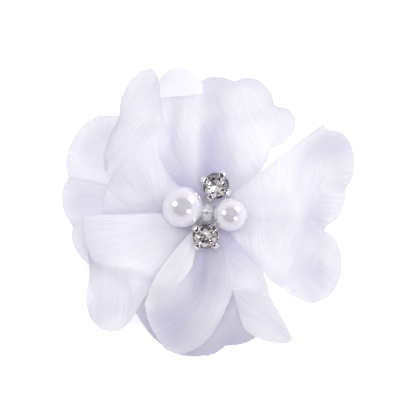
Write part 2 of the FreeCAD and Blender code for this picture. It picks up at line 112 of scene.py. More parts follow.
def make(name, points, faces, smooth=True):
    """A mesh object from points in millimetres."""
    mesh = bpy.data.meshes.new(name)
    mesh.from_pydata([tuple(p) for p in np.asarray(points) * MM], [], faces)
    mesh.update()
    if smooth:
        mesh.polygons.foreach_set("use_smooth", [True] * len(mesh.polygons))
    piece = bpy.data.objects.new(name, mesh)
    bpy.context.scene.collection.objects.link(piece)
    return piece


def grid_faces(up, across, start=0, wrap=False):
    """Four-sided faces between rows of points; wrap joins each row's end to its beginning."""
    faces = []
    for j in range(up - 1):
        for i in range(across if wrap else across - 1):
            a = start + j * across + i
            b = start + j * across + (i + 1) % across
            faces.append((a, b, b + across, a + across))
    return faces


def attribute(piece, name, values, domain="POINT"):
    """Stores a number for each point or face, or the same number for all of them."""
    layer = piece.data.attributes.new(name, "FLOAT", domain)
    layer.data.foreach_set("value", np.broadcast_to(values, len(layer.data)).astype(np.float32))


# ---------------------------------------------------------------- petals
# Each petal is one or two sheets, given as rows of (x, y, z) in millimetres from the gathered root out to
# the rim. A second sheet is the part of a petal that is folded back over the first.
#   painted_shade   the petal's painted shade: 1 is white and less is a deeper lavender; a pair runs from the root to the rim
#   cut    width and length of the cloth before it is gathered, in millimetres
#   grain  which way the pleats run, as pleat_lines says; without it they follow the rows
#   dull   painted shadows: soft darker dabs (x, y, spread, amount), where cloth lies under another petal; below 0 is painted light

PETALS = {
    "petal_right": dict(
        painted_shade=0.965,
        cut=(34, 27),
        sheets=[dict(
            grain=[(0.0, "straight", 100), (0.42, "fan", 11.0, -18.0), (0.79, "fan", 2.0, 4.0)],
            dull=[(13.5, -6.0, 4.5, 0.25), (15.0, -1.0, 4.5, 0.22), (23.3, 7.5, 2.5, 0.2),
                  (19.4, 3.2, 2.0, -0.15), (7.4, -7.3, 1.2, 0.35), (8.9, -8.9, 1.2, 0.35),
                  (10.5, -10.4, 1.3, 0.4), (12.2, -11.9, 1.3, 0.35)],
            rows=[
                [(2.4, 1.6, 11.6), (3.0, 0.2, 11.4), (2.6, -1.8, 11.6)],
                [(8.4, 6.5, 14.6), (9.4, 3.0, 13.9), (9.6, -0.5, 13.7), (9.3, -5, 13.9),
                 (8.0, -8.2, 14.6)],
                [(13.3, 10.3, 16.4), (12.6, 6.4, 15.6), (14.4, 2.6, 15.2), (14.8, -1.2, 15.1),
                 (13.8, -5.4, 15.1), (13.4, -9.3, 15.6), (11.2, -11.8, 16.4)],
                [(15.6, 12.1, 17.0), (15.4, 7.6, 15.5), (16.6, 3.4, 15.2), (16.4, -1.4, 15.1),
                 (15.8, -5.8, 14.9), (15.4, -10.0, 15.2), (12.4, -12.6, 16.6)],
                [(18.4, 14.2, 17.7), (20.6, 11.2, 15.6), (20.8, 7.2, 16.2), (20.0, 2.4, 15.2),
                 (18.2, -2.0, 14.6), (19.4, -6.4, 15.2), (19.2, -11.2, 15.2), (15.0, -13.9, 16.4)],
                [(20.2, 15.5, 18.0), (21.2, 14.5, 17.2), (23.4, 14.1, 16.6), (25.2, 12.0, 16.4),
                 (25.8, 8.9, 16.6), (25.2, 5.7, 16.9), (24.2, 4.1, 16.2), (24.1, 2.0, 16.8),
                 (22.8, -0.8, 16.8), (20.5, -2.9, 15.4), (22.2, -4.2, 16.4), (23.4, -7.3, 17.0),
                 (23.3, -11.0, 17.0), (21.5, -14.3, 16.8), (18.4, -15.7, 16.5), (15.4, -14.7, 16.7),
                 (13.2, -13.3, 16.8)],
            ],
        )],
    ),
    "petal_top": dict(
        painted_shade=(0.9, 0.96),
        cut=(34, 27),
        sheets=[dict(
            grain=[(0.0, "straight", 113)],
            dull=[(4.6, 5.0, 2.2, 0.25)],
            rows=[
                [(1.8, 1.8, 11.4), (0.4, 3.0, 11.0), (-1.6, 2.8, 12.0)],
                [(7.6, 5.4, 13.9), (5.2, 6.8, 13.2), (3.0, 7.6, 11.3), (0.8, 8.0, 10.7),
                 (-0.9, 7.9, 11.7), (-2.3, 7.4, 12.9), (-4.2, 6.6, 12.3), (-6.2, 5.6, 12.4)],
                [(10.4, 9.0, 15.6), (7.8, 12.6, 15.8), (4.4, 14.0, 14.4), (1.6, 14.4, 12.8),
                 (-0.6, 14.3, 13.4), (-2.8, 13.8, 14.9), (-4.8, 12.8, 14.0), (-6.6, 11.8, 13.2),
                 (-8.6, 11.4, 14.0)],
                [(11.1, 11.0, 16.0), (12.3, 14.4, 16.1), (10.8, 17.2, 15.9), (6.8, 19.4, 15.8),
                 (2.8, 19.6, 14.8), (0.0, 19.4, 14.6), (-2.8, 19.2, 15.6), (-5.6, 18.0, 14.6),
                 (-8.1, 16.9, 15.8)],
                [(11.8, 11.6, 16.1), (13.3, 12.2, 16.2), (14.8, 13.7, 16.2), (15.6, 15.9, 15.9),
                 (14.4, 18.1, 15.5), (12.1, 18.9, 14.9), (11.2, 21.1, 15.2), (9.2, 23.2, 14.9),
                 (6.9, 23.8, 14.7), (4.8, 23.2, 14.5), (2.5, 23.9, 14.4), (0.2, 23.8, 14.5),
                 (-1.1, 23.3, 15.0), (-2.6, 24.8, 15.8), (-4.6, 25.4, 16.3), (-6.8, 25.0, 16.3),
                 (-8.2, 23.4, 15.9)],
            ],
        ), dict(
            grain=[(0.0, "straight", 60)],
            rows=[
                [(-1.2, 23.4, 15.1), (-2.6, 24.8, 15.8), (-4.6, 25.4, 16.3), (-6.8, 25.0, 16.3),
                 (-8.2, 23.5, 16.0)],
                [(-0.8, 22.4, 15.6), (-3.2, 23.2, 16.6), (-5.6, 23.4, 16.9), (-8.3, 22.0, 16.7)],
                [(-0.8, 21.0, 15.9), (-3.2, 20.5, 16.6), (-6.0, 20.3, 16.9), (-8.2, 20.1, 16.8)],
            ],
        )],
    ),
    "petal_top_left": dict(
        painted_shade=0.975,
        cut=(24, 22),
        sheets=[dict(
            grain=[(0.0, "straight", 52)],
            dull=[(-9.3, 14.7, 2.3, 0.45)],
            rows=[
                [(-0.8, 2.8, 10.6), (-2.0, 2.4, 10.6), (-2.4, 2.0, 10.6)],
                [(-4.8, 9.0, 13.0), (-7.6, 7.4, 12.9), (-9.4, 5.2, 12.9)],
                [(-7.0, 14.0, 15.4), (-10.6, 11.6, 16.2), (-13.6, 9.0, 16.2), (-15.6, 6.4, 15.0)],
                [(-7.6, 17.4, 15.5), (-11.4, 15.6, 16.4), (-15.2, 11.6, 16.6), (-17.2, 7.0, 15.4)],
                [(-8.1, 20.6, 15.2), (-11.6, 19.4, 15.7), (-14.4, 16.4, 16.1), (-16.6, 12.2, 16.2),
                 (-17.6, 7.4, 15.1)],
                [(-8.3, 23.2, 14.9), (-9.1, 24.8, 15.0), (-10.1, 25.3, 15.3), (-12.1, 24.5, 15.7),
                 (-13.9, 22.5, 15.8), (-15.1, 19.6, 15.5), (-15.4, 16.8, 15.2), (-16.8, 14.0, 15.4),
                 (-17.9, 10.8, 15.3), (-17.9, 7.8, 14.7)],
            ],
        )],
    ),
    "petal_left_upper": dict(
        painted_shade=0.975,
        cut=(18, 26),
        sheets=[dict(
            rows=[
                [(-1.8, 2.0, 10.7), (-2.6, 1.0, 10.7)],
                [(-6.4, 8.6, 12.0), (-9.4, 5.4, 11.8), (-9.8, 3.0, 12.0)],
                [(-11.2, 13.8, 13.8), (-16.0, 9.0, 13.4), (-17.0, 4.8, 13.8)],
                [(-13.8, 16.2, 14.4), (-20.2, 12.6, 14.4), (-21.2, 8.6, 14.8), (-21.4, 5.8, 15.2)],
                [(-13.2, 17.0, 14.4), (-18.3, 17.0, 15.8), (-20.9, 16.0, 16.2), (-22.9, 13.9, 16.4),
                 (-24.1, 11.4, 16.4), (-24.6, 8.6, 16.2), (-24.2, 6.1, 15.4)],
            ],
        )],
    ),
    "petal_left_back": dict(
        painted_shade=0.92,
        cut=(23, 26),
        sheets=[dict(
            rows=[
                [(-2.6, 0.6, 10.1), (-2.6, -1.2, 10.1)],
                [(-9.5, 3.2, 11.4), (-10.4, -0.8, 11.1), (-9.0, -4.6, 11.5)],
                [(-17.2, 5.0, 13.0), (-18.4, 1.2, 12.3), (-18.0, -3.6, 12.8), (-15.6, -7.6, 13.2)],
                [(-21.6, 6.0, 14.3), (-22.4, 1.6, 13.4), (-21.4, -2.4, 13.9), (-20.6, -6.2, 13.7),
                 (-17.8, -9.2, 14.0)],
                [(-24.2, 6.3, 14.6), (-25.1, 4.8, 14.8), (-25.4, 2.4, 15.0), (-24.9, -0.2, 14.8),
                 (-23.6, -2.3, 14.2), (-23.7, -4.4, 14.8), (-22.6, -7.1, 15.0), (-20.5, -9.2, 14.8),
                 (-19.2, -10.3, 14.4)],
            ],
        )],
    ),
    "petal_left_front": dict(
        cut=(18, 20),
        sheets=[dict(
            grain=[(0.0, "fan", -6.5, -6.0)],
            rows=[
                [(-2.0, 2.8, 12.0), (-3.0, 1.6, 12.0), (-3.0, 0.5, 11.4)],
                [(-6.0, 5.9, 13.9), (-7.4, 4.2, 15.4), (-8.4, 2.2, 15.0), (-8.4, 0.3, 11.9)],
                [(-8.0, 9.6, 15.7), (-10.2, 6.8, 17.1), (-12.6, 3.8, 15.6), (-13.0, 1.8, 14.8),
                 (-13.0, 0.1, 12.3)],
                [(-8.3, 12.5, 17.0), (-11.2, 10.6, 17.4), (-14.2, 7.8, 16.8), (-16.6, 4.8, 14.9),
                 (-17.4, 2.2, 14.2), (-17.5, 0.1, 12.8)],
                [(-8.6, 13.5, 17.0), (-9.7, 13.4, 17.3), (-11.9, 11.4, 17.6), (-14.9, 8.4, 17.0),
                 (-17.4, 5.0, 14.6), (-18.2, 2.4, 13.9), (-18.3, 0.1, 12.7)],
            ],
        )],
    ),
    "petal_left_lower": dict(
        cut=(26, 29),
        sheets=[dict(
            dull=[(-19.4, -18.0, 2.8, 0.5), (-15.6, -12.6, 4.5, -0.4)],
            rows=[
                [(-3.0, -0.4, 11.6), (-3.2, -1.8, 11.4), (-2.6, -2.8, 11.8)],
                [(-8.5, -0.1, 14.8), (-8.6, -3.0, 15.3), (-7.4, -5.2, 14.7), (-4.8, -6.8, 12.6)],
                [(-15.0, -0.3, 16.2), (-15.0, -4.2, 16.6), (-12.4, -7.4, 16.0), (-8.8, -8.8, 14.8),
                 (-6.8, -10.2, 13.4)],
                [(-21.3, -0.5, 17.2), (-21.1, -4.2, 17.1), (-19.4, -7.8, 17.0), (-15.6, -9.3, 16.7),
                 (-12.2, -10.0, 16.2), (-8.4, -11.2, 14.4)],
                [(-21.2, -3.2, 16.2), (-20.8, -6.8, 15.7), (-19.2, -9.9, 15.3), (-15.8, -11.4, 14.9),
                 (-12.2, -11.9, 14.9), (-8.6, -12.2, 14.2)],
                [(-20.3, -7.6, 15.4), (-20.4, -11.6, 15.4), (-18.6, -15.4, 15.0), (-15.0, -16.4, 14.8),
                 (-12.0, -14.6, 15.2), (-8.6, -11.4, 15.0)],
                [(-19.8, -9.6, 15.4), (-20.9, -12.8, 16.2), (-21.0, -15.8, 16.7), (-20.3, -18.3, 16.9),
                 (-18.4, -20.2, 16.9), (-15.9, -20.6, 16.9), (-13.5, -19.0, 16.8), (-11.5, -15.8, 16.2),
                 (-9.6, -13.0, 15.4)],
            ],
        )],
    ),
    "petal_bottom_front": dict(
        painted_shade=0.95,
        cut=(24, 28),
        sheets=[dict(
            grain=[(0.0, "round", -12.0, -10.0)],
            rows=[
                [(-2.4, -2.6, 12.2), (-0.6, -3.2, 11.1), (1.4, -2.6, 11.6)],
                [(-5.6, -6.6, 14.6), (-3.6, -7.4, 13.2), (-0.9, -8.0, 11.3), (1.6, -7.4, 12.2),
                 (3.4, -6.4, 13.4)],
                [(-8.9, -11.0, 16.4), (-6.0, -12.0, 15.2), (-2.6, -12.9, 12.4), (0.4, -12.6, 12.9),
                 (2.6, -11.8, 14.7), (4.8, -11.0, 15.8)],
                [(-10.3, -16.6, 16.6), (-7.8, -18.2, 14.5), (-5.0, -18.8, 13.3), (-1.8, -18.0, 14.3),
                 (1.4, -16.6, 16.2), (4.3, -13.8, 16.4)],
                [(-10.9, -15.4, 17.2), (-10.3, -18.6, 16.0), (-8.8, -21.9, 14.6), (-6.9, -24.0, 14.3),
                 (-4.4, -24.7, 14.6), (-1.9, -23.7, 15.1), (0.4, -21.8, 15.7), (2.6, -18.2, 16.5),
                 (4.2, -14.6, 16.8), (4.9, -12.6, 16.6)],
            ],
        ), dict(
            grain=[(0.0, "straight", 60)],
            dull=[(-8.9, -14.0, 3.2, 0.65), (-5.4, -9.0, 2.6, 0.42)],
            rows=[
                [(-2.6, -3.0, 12.6), (-5.7, -6.6, 14.9), (-8.9, -11.0, 16.7), (-10.9, -15.8, 17.3)],
                [(-2.3, -3.6, 13.0), (-4.1, -7.2, 15.2), (-6.6, -11.2, 16.9), (-10.7, -16.5, 17.1)],
                [(-2.1, -4.4, 12.9), (-2.2, -7.8, 14.3), (-4.0, -11.4, 15.4), (-10.4, -17.2, 16.6)],
            ],
        )],
    ),
    "petal_bottom_back": dict(
        painted_shade=0.9,
        cut=(26, 26),
        sheets=[dict(
            grain=[(0.0, "straight", 62)],
            dull=[(0, -20, 60, 0.58), (6.6, -22.0, 2.5, 0.3)],
            rows=[
                [(-1.6, -2.4, 10.1), (0.8, -2.6, 10.1)],
                [(-6.8, -7.6, 11.5), (-0.4, -10.0, 10.9), (5.4, -8.6, 11.4)],
                [(-11.4, -11.8, 13.0), (-3.0, -17.0, 12.0), (2.4, -16.8, 12.2), (7.6, -13.8, 12.8)],
                [(-13.0, -15.4, 13.6), (-5.6, -21.6, 13.1), (0.4, -21.8, 13.1), (4.2, -20.0, 13.3),
                 (7.4, -18.6, 13.6)],
                [(-13.6, -15.6, 13.6), (-12.0, -18.4, 13.5), (-9.2, -22.1, 13.0), (-5.6, -24.6, 12.7),
                 (-2.2, -25.2, 12.6), (1.1, -24.8, 12.5), (3.2, -23.4, 12.6), (5.4, -23.2, 12.7),
                 (7.8, -22.4, 12.9), (9.2, -21.0, 13.2)],
            ],
        )],
    ),
    "petal_bottom_right": dict(
        painted_shade=(0.89, 0.965),
        cut=(12, 26),
        sheets=[dict(
            grain=[(0.0, "straight", 35), (0.6, "straight", -37)],
            dull=[(9.6, -12.6, 2.2, 0.5)],
            rows=[
                [(0.8, -2.6, 11.2), (2.4, -2.0, 11.4)],
                [(3.2, -7.4, 12.8), (5.0, -7.2, 12.8), (8.4, -7.2, 12.8)],
                [(4.0, -11.0, 14.6), (6.6, -11.4, 14.8), (10.1, -11.2, 15.0)],
                [(4.5, -13.4, 15.6), (6.8, -13.5, 15.8), (9.0, -13.9, 16.0), (11.0, -14.4, 16.4)],
                [(4.7, -14.0, 15.2), (6.9, -14.3, 15.2), (9.2, -14.9, 15.4), (11.6, -15.6, 16.1)],
                [(5.2, -16.0, 14.7), (7.0, -16.9, 14.7), (9.8, -17.9, 14.9), (13.6, -19.2, 16.0)],
                [(5.9, -18.5, 14.5), (6.8, -20.6, 14.9), (9.4, -22.1, 15.1), (11.4, -22.6, 15.2),
                 (13.4, -22.8, 15.4), (14.7, -22.5, 15.7), (14.9, -21.8, 15.9)],
            ],
        )],
    ),
}
PLEAT = 0.62  # spacing of the pleats, in millimetres
MEAN_WIDTH = 0.8  # of a petal, as a share of its widest row
SHEET_STEPS = (150, 100)  # points across and up a petal
FOLD_STEPS = (60, 36)  # points across and up a folded part
CREASE, SWELL, FRAY = 0.17, 0.10, 0.13  # how far noise moves the cloth, in millimetres
FRAY_REACH = 0.6  # how far in from the rim the cloth is frayed, in millimetres
HOLLOW_PAINTED_SHADE, ROOT_PAINTED_SHADE = 0.12, 0.06  # painted shade: how much deeper the colour is painted in a valley and at the root
GATHER_END, GATHER_SPAN = 10, 6  # where the gathered root ends, and over how far, in millimetres
RIM_PAINTED_GREY = 0.5  # painted shade: how much greyer the single layer of cloth is painted at the rim
THIN_START, THIN_SPAN = 15, 9  # where the single layer starts, and over how far, in millimetres


def pleat_lines(grid, turn, run, v, grain):
    """Distances across and along the pleats, which follow the sheet unless grain gives another course.

    Each course starts at some share of the sheet's length and is straight at an angle in degrees, spread
    like a fan from a point, or round a point."""
    x, y = grid[:, :, 0], grid[:, :, 1]
    for start, kind, *where in grain:
        if kind == "straight":
            angle = math.radians(where[0])
            across = y * math.cos(angle) - x * math.sin(angle)
            along = x * math.cos(angle) + y * math.sin(angle)
        else:
            far = np.hypot(x - where[0], y - where[1])
            swing = np.unwrap(np.arctan2(y - where[1], x - where[0]), axis=1) * far.mean()
            across, along = (far, swing) if kind == "round" else (swing, far)
        turn = np.where(v >= start, across, turn)
        run = np.where(v >= start, along, run)
    return turn, run


def petal(name, spec, seed):
    """One petal: sheets with creases, swells and a frayed rim, and the numbers their material reads."""
    points, faces = [], []
    numbers = {key: [] for key in ("pleat", "run", "edge", "double", "shade", "painted_grey")}
    for k, sheet in enumerate(spec["sheets"]):
        folded = k > 0
        across, up = FOLD_STEPS if folded else SHEET_STEPS
        grid = surface(sheet["rows"], across, up)
        out = normals_of(grid)
        u, v = np.meshgrid(np.linspace(0, 1, across), np.linspace(0, 1, up))
        width = np.linalg.norm(np.diff(grid, axis=1), axis=2).sum(axis=1).max() * MEAN_WIDTH
        reach = np.linalg.norm(np.diff(grid, axis=0), axis=2).sum(axis=0).mean()
        turn, run = pleat_lines(grid, u * width, v * reach, v, sheet.get("grain", []))

        # the stitched root stays smooth; further out there are broad creases, narrow ones and soft swells
        free = np.clip(v * 4, 0, 1)
        broad = crinkle(turn / 2.4, run / 11, seed + k)
        narrow = crinkle(turn / 0.9, run / 7, seed + k + 40)
        lift = free * (CREASE * (broad + 0.4 * narrow) + SWELL * lumps(grid, 3.4, seed + 5))
        grid = grid + out * lift[:, :, None]
        rimward = np.gradient(grid, axis=0)
        rimward /= np.maximum(np.linalg.norm(rimward, axis=2, keepdims=True), 1e-9)
        near_rim = np.clip(1 - (1 - v) * reach / FRAY_REACH, 0, 1)
        grid = grid + rimward * (near_rim * FRAY * lumps(grid, 0.8, seed + 60))[:, :, None]

        # painted shade: valleys, the gathered root and each whole petal are painted a deeper lavender; a
        # single layer near the rim is painted greyer
        x, y, z = grid.transpose(2, 0, 1)
        away = np.hypot(x, y)
        hollow = np.clip(blurred(z, up // 7, across // 7) - z, -0.4, 1.3)
        gathered = np.clip((GATHER_END - away) / GATHER_SPAN, 0, 1)
        # the petal's own painted shade, from the root to the rim
        painted_shade = np.interp(v, (0.1, 0.7), np.broadcast_to(spec.get("painted_shade", 1.0), 2))
        thin = np.clip((away - THIN_START) / THIN_SPAN, 0, 1)
        painted_grey = (0 if folded else RIM_PAINTED_GREY) * thin
        # painted shadows from the dull dabs, and painted light where a dab's amount is below 0
        for dab_x, dab_y, spread, amount in sheet.get("dull", []):
            painted_grey = painted_grey + amount * np.exp(-((x - dab_x) ** 2 + (y - dab_y) ** 2) / spread**2)
        fields = dict(
            pleat=turn / PLEAT + 0.5 * lumps(grid, 3.0, seed + k),
            run=run,
            edge=np.minimum(np.minimum(u, 1 - u) * width, (1 - v) * reach),
            double=np.full(u.shape, float(folded)),
            shade=painted_shade - HOLLOW_PAINTED_SHADE * hollow - ROOT_PAINTED_SHADE * gathered,
            painted_grey=painted_grey,
        )
        for key, field in fields.items():
            numbers[key].append(field.reshape(-1))
        faces += grid_faces(up, across, len(points))
        points += list(grid.reshape(-1, 3))
    piece = make(name + "_cloth", points, faces)
    for key, parts in numbers.items():
        attribute(piece, key, np.concatenate(parts))
    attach(piece, FLOWER)
    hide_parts(name)
    return piece


# ---------------------------------------------------------------- tubes and turned solids


def tube(path, radius, sides, closed_ends=True):
    """A round tube along a path of points in millimetres, with one radius or one for each point."""
    path = np.asarray(path, float)
    radius = np.broadcast_to(radius, len(path))
    ahead = np.gradient(path, axis=0)
    ahead /= np.linalg.norm(ahead, axis=1, keepdims=True)
    side = np.cross(ahead[0], (0.31, 0.22, 0.92))
    rings = []
    for centre, way, r in zip(path, ahead, radius):
        side = side - way * side.dot(way)
        side /= np.linalg.norm(side)
        other = np.cross(way, side)
        turn = np.linspace(0, 2 * math.pi, sides, endpoint=False)[:, None]
        rings.append(centre + r * (np.cos(turn) * side + np.sin(turn) * other))
    points = list(np.vstack(rings))
    faces = grid_faces(len(path), sides, wrap=True)
    if closed_ends:
        faces.append(tuple(range(sides - 1, -1, -1)))
        faces.append(tuple(len(points) - sides + k for k in range(sides)))
    return points, faces


def joined(parts):
    """Puts several (points, faces) together."""
    points, faces = [], []
    for p, f in parts:
        faces += [tuple(i + len(points) for i in face) for face in f]
        points += list(p)
    return points, faces


def placed(points, at, spin, tilt):
    """Turns points about Z by spin and then about X by tilt, in degrees, and moves them to a place."""
    a, b = math.radians(spin), math.radians(tilt)
    p = np.asarray(points, float)
    p = p @ np.array([[math.cos(a), math.sin(a), 0], [-math.sin(a), math.cos(a), 0], [0, 0, 1]])
    p = p @ np.array([[1, 0, 0], [0, math.cos(b), math.sin(b)], [0, -math.sin(b), math.cos(b)]])
    return p + np.array(at)


def round_about(profile, steps, flute=None):
    """Turns a profile of (radius, height) points about Z; flute(angle, radius) moves the height."""
    profile = np.asarray(profile, float)
    turn = np.linspace(0, 2 * math.pi, steps, endpoint=False)
    r, t = profile[:, :1], turn[None, :]
    height = profile[:, 1:] + (flute(t, r) if flute else 0 * t)
    grid = np.stack([r * np.cos(t), r * np.sin(t), height], axis=2)
    return list(grid.reshape(-1, 3)), grid_faces(len(profile), steps, wrap=True)


# ---------------------------------------------------------------- stones and settings
# Both stones have the same cut. Heights are above the foot of the setting, in millimetres.

SEATS = {
    "upper": dict(at=(1.6, 4.9, 12.3), spin=62, tilt=4),
    "lower": dict(at=(-0.2, -3.6, 12.7), spin=48, tilt=14),
}
TABLE, STAR, GIRDLE, KITE = 1.2, 1.7, 2.24, 0.8  # radii of the cut's rings, in millimetres
SEAT, GIRDLE_TOP, TABLE_TOP, CULET = 1.8, 1.96, 2.76, 0.5  # heights, in millimetres


def ring_points(radius, height, count, offset=0.0):
    """Points evenly spread round a circle, turned on by offset of a step."""
    turn = 2 * math.pi * (np.arange(count) + offset) / count
    return [(radius * math.cos(t), radius * math.sin(t), height) for t in turn]


def stone(which):
    """A round brilliant: an 8-sided table with stars, kites and girdle facets, and kites again below."""
    fall = (TABLE_TOP - GIRDLE_TOP) / (GIRDLE - TABLE)
    rise = (SEAT - CULET) / GIRDLE
    flat = math.cos(math.pi / 8)
    points = ring_points(TABLE, TABLE_TOP, 8, 0.5)
    points += ring_points(STAR, TABLE_TOP - fall * (STAR * flat - TABLE), 8)
    points += ring_points(GIRDLE, GIRDLE_TOP, 16)
    points += ring_points(GIRDLE, SEAT, 16)
    points += ring_points(KITE, CULET + rise * KITE * flat, 8)
    points += [(0, 0, CULET)]
    table, star, upper, lower, kite, tip = 0, 8, 16, 32, 48, 56  # where each ring starts among the points
    above = [tuple(range(8))]
    below = []
    for k in range(8):
        after = (k + 1) % 8
        first, middle, last = 2 * k, 2 * k + 1, (2 * k + 2) % 16
        above.append((table + after, star + after, table + k))
        above.append((table + k, star + k, upper + middle, star + after))
        above.append((star + k, upper + first, upper + middle))
        above.append((star + after, upper + middle, upper + last))
        for i, j in ((first, middle), (middle, last)):
            above.append((lower + i, lower + j, upper + j, upper + i))
        below.append((kite + k, tip, kite + after, lower + middle))
        below.append((kite + k, lower + middle, lower + first))
        below.append((kite + after, lower + last, lower + middle))
    piece = make("rhinestone_%s_cut" % which, placed(points, **SEATS[which]), above + below, smooth=False)
    silvered = np.arange(len(above) + len(below)) >= len(above)
    piece.data.polygons.foreach_set("material_index", silvered.astype(int))
    # a random painted shade for each silvered facet, standing for dark reflections and tarnish on the
    # foil
    fixed = np.random.default_rng(7 if which == "upper" else 23)
    attribute(piece, "shade", np.where(silvered, fixed.random(len(silvered)), 1.0), "FACE")
    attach(piece, FLOWER)
    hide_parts("rhinestone_" + which)
    return piece


def setting(which):
    """A pressed cup with a rolled rim, and four claws bent in over the stone, each with a rounded end."""
    # (radius, height) up the outside of the cup, over its rim and down the inside
    cup = [(0.0, 0.02), (1.4, 0.0), (1.9, 0.1), (2.16, 0.42), (2.28, 0.9), (2.3, 1.5), (2.34, 1.62)]
    cup += [(2.3, 1.7), (2.22, 1.7), (2.12, 1.55), (2.06, 1.0), (1.9, 0.55), (1.4, 0.3), (0.0, 0.28)]
    smooth_cup = spline([(r, 0, z) for r, z in cup], 90)[:, [0, 2]]
    smooth_cup[:, 0] = np.maximum(smooth_cup[:, 0], 0.002)
    parts = [round_about(smooth_cup, 72)]

    # (radius, height) along the middle of a claw, which has a nearly square section
    bend = [(2.15, 0.55), (2.5, 1.1), (2.74, 1.8), (2.68, 2.35), (2.28, 2.72), (1.68, 2.84)]
    spine = spline([(r, 0, z) for r, z in bend], 30)
    ahead = np.gradient(spine, axis=0)
    ahead /= np.linalg.norm(ahead, axis=1, keepdims=True)
    sideways = np.array([0, 1.0, 0])
    outward = np.cross(sideways, ahead)
    reach = np.linspace(0, 1, len(spine))
    half_width = 0.62 - 0.08 * reach
    half_thick = 0.18 + 0.1 * reach
    rounded = np.sqrt(np.clip(1 - np.clip((reach - 0.86) / 0.14, 0, 1) ** 2.2, 0.02, 1))
    sides = 20
    corner = np.linspace(0, 2 * math.pi, sides, endpoint=False)
    across, up = [np.sign(way) * np.abs(way) ** 0.6 for way in (np.cos(corner), np.sin(corner))]
    rings = []
    for centre, out, wide, thick, end in zip(spine, outward, half_width * rounded, half_thick, rounded):
        high = up * thick * (0.4 + 0.6 * end)
        rings.append(centre + (across * wide)[:, None] * sideways + high[:, None] * out)
    claw = np.vstack(rings)
    faces = grid_faces(len(spine), sides, wrap=True)
    faces.append(tuple(range(sides - 1, -1, -1)))
    faces.append(tuple(len(claw) - sides + k for k in range(sides)))
    for quarter in range(4):
        parts.append((list(placed(claw, (0, 0, 0), 90 * quarter, 0)), faces))
    points, faces = joined(parts)
    piece = make("claw_setting_%s_metal" % which, placed(points, **SEATS[which]), faces)
    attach(piece, FLOWER)
    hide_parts("claw_setting_" + which)
    return piece


# ---------------------------------------------------------------- pearl thread

LARGE, LARGE_RADIUS = np.array([-4.3, 1.1, 15.4]), 3.6
SMALL, SMALL_RADIUS = np.array([4.1, -0.3, 14.9]), 2.9


def bead_thread():
    """Two twisted plies through both pearls and down into the flower, with a knot between the pearls."""
    way = (SMALL - LARGE) / np.linalg.norm(SMALL - LARGE)
    down = np.array([0, 0, -1.0])
    west, east = LARGE - way * LARGE_RADIUS, SMALL + way * SMALL_RADIUS
    between = (LARGE + way * LARGE_RADIUS + SMALL - way * SMALL_RADIUS) / 2
    line = [
        west + down * 2.6 + way * 0.92,
        west + down * 1.5 + way * 0.12,
        west + down * 0.6 - way * 0.13,
        west + way * 0.1,
        LARGE,
        between + down * 0.12,
        SMALL,
        east - way * 0.1,
        east + down * 0.6 + way * 0.12,
        east + down * 1.4 - way * 0.14,
        east + down * 2.4 - way * 0.98,
    ]
    path = spline(line, 420)
    ahead = np.gradient(path, axis=0)
    ahead /= np.linalg.norm(ahead, axis=1, keepdims=True)
    side = np.cross(ahead, (0, 1, 0.2))
    side /= np.linalg.norm(side, axis=1, keepdims=True)
    other = np.cross(ahead, side)
    turns, twist_radius, ply_radius = 34, 0.07, 0.085
    twist = np.linspace(0, 2 * math.pi * turns, len(path))[:, None]
    parts = []
    for start in (0, math.pi):
        ply = path + twist_radius * (np.cos(twist + start) * side + np.sin(twist + start) * other)
        parts.append(tube(ply, ply_radius, sides=7))
    # a small overhand knot and its two tails
    centre = path[len(path) // 2 + 4]
    loop = np.linspace(0, 2 * math.pi, 80, endpoint=False)
    round_x, round_y = np.sin(loop) + 2 * np.sin(2 * loop), np.cos(loop) - 2 * np.cos(2 * loop)
    knot = 0.1 * np.stack([round_x, round_y, -np.sin(3 * loop)], axis=1)
    parts.append(tube(centre + np.vstack([knot, knot[:1]]), 0.1, sides=8))
    for lean in (np.array([0.3, 0.5, -0.7]), np.array([-0.3, -0.5, -0.8])):
        tail = [centre, centre + lean * 0.6 + (0, 0, 0.15), centre + lean * 1.4 + (0.1, 0, -0.5)]
        parts.append(tube(spline(tail, 24), np.linspace(0.09, 0.06, 24), sides=6))
    points, faces = joined(parts)
    piece = make("bead_thread_twist", points, faces)
    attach(piece, FLOWER)
    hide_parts("bead_thread")
    return piece


# ---------------------------------------------------------------- root of the flower, felt, glue


def flower_base():
    """A round of chiffon drawn up into a tuft between the beads, with flutes that widen to its rim."""
    rim = 7.0

    def flute(turn, radius):
        """A ridge from one stone to the other between the pearls, and flutes that open out to the rim."""
        ridge = 1.7 * np.sin(turn) ** 4 * np.exp(-(((radius - 2.1) / 0.9) ** 2))
        open_out = np.clip((radius - 0.5) / 6, 0, 1) ** 0.7
        waves = 0.29 * np.sin(13 * turn + 0.8 * np.sin(3 * turn)) + 0.11 * np.sin(29 * turn + 1.0)
        return ridge + open_out * waves

    tuft = [(0.2, 14.55), (0.9, 14.4), (1.4, 13.6), (1.85, 12.1)]
    skirt = [(2.5, 10.8), (3.6, 10.0), (5.2, 9.3), (rim, 8.98)]
    line = spline([(r, 0, z) for r, z in tuft + skirt], 48)
    points, faces = round_about(line[:, [0, 2]], 260, flute)
    piece = make("flower_base_cloth", points, faces)
    x, y, _ = np.array(points).T
    radius = np.hypot(x, y)
    attribute(piece, "pleat", np.arctan2(y, x) * rim / PLEAT)
    attribute(piece, "run", radius)
    attribute(piece, "edge", rim - radius)
    # painted light: the tuft between the beads is painted whiter; painted shade: the whole base is a
    # little deeper lavender
    attribute(piece, "double", 0.65 * np.clip(2.6 - radius, 0, 1))
    attribute(piece, "shade", 0.955)
    attribute(piece, "painted_grey", 0)
    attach(piece, FLOWER)
    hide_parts("flower_base")
    return piece


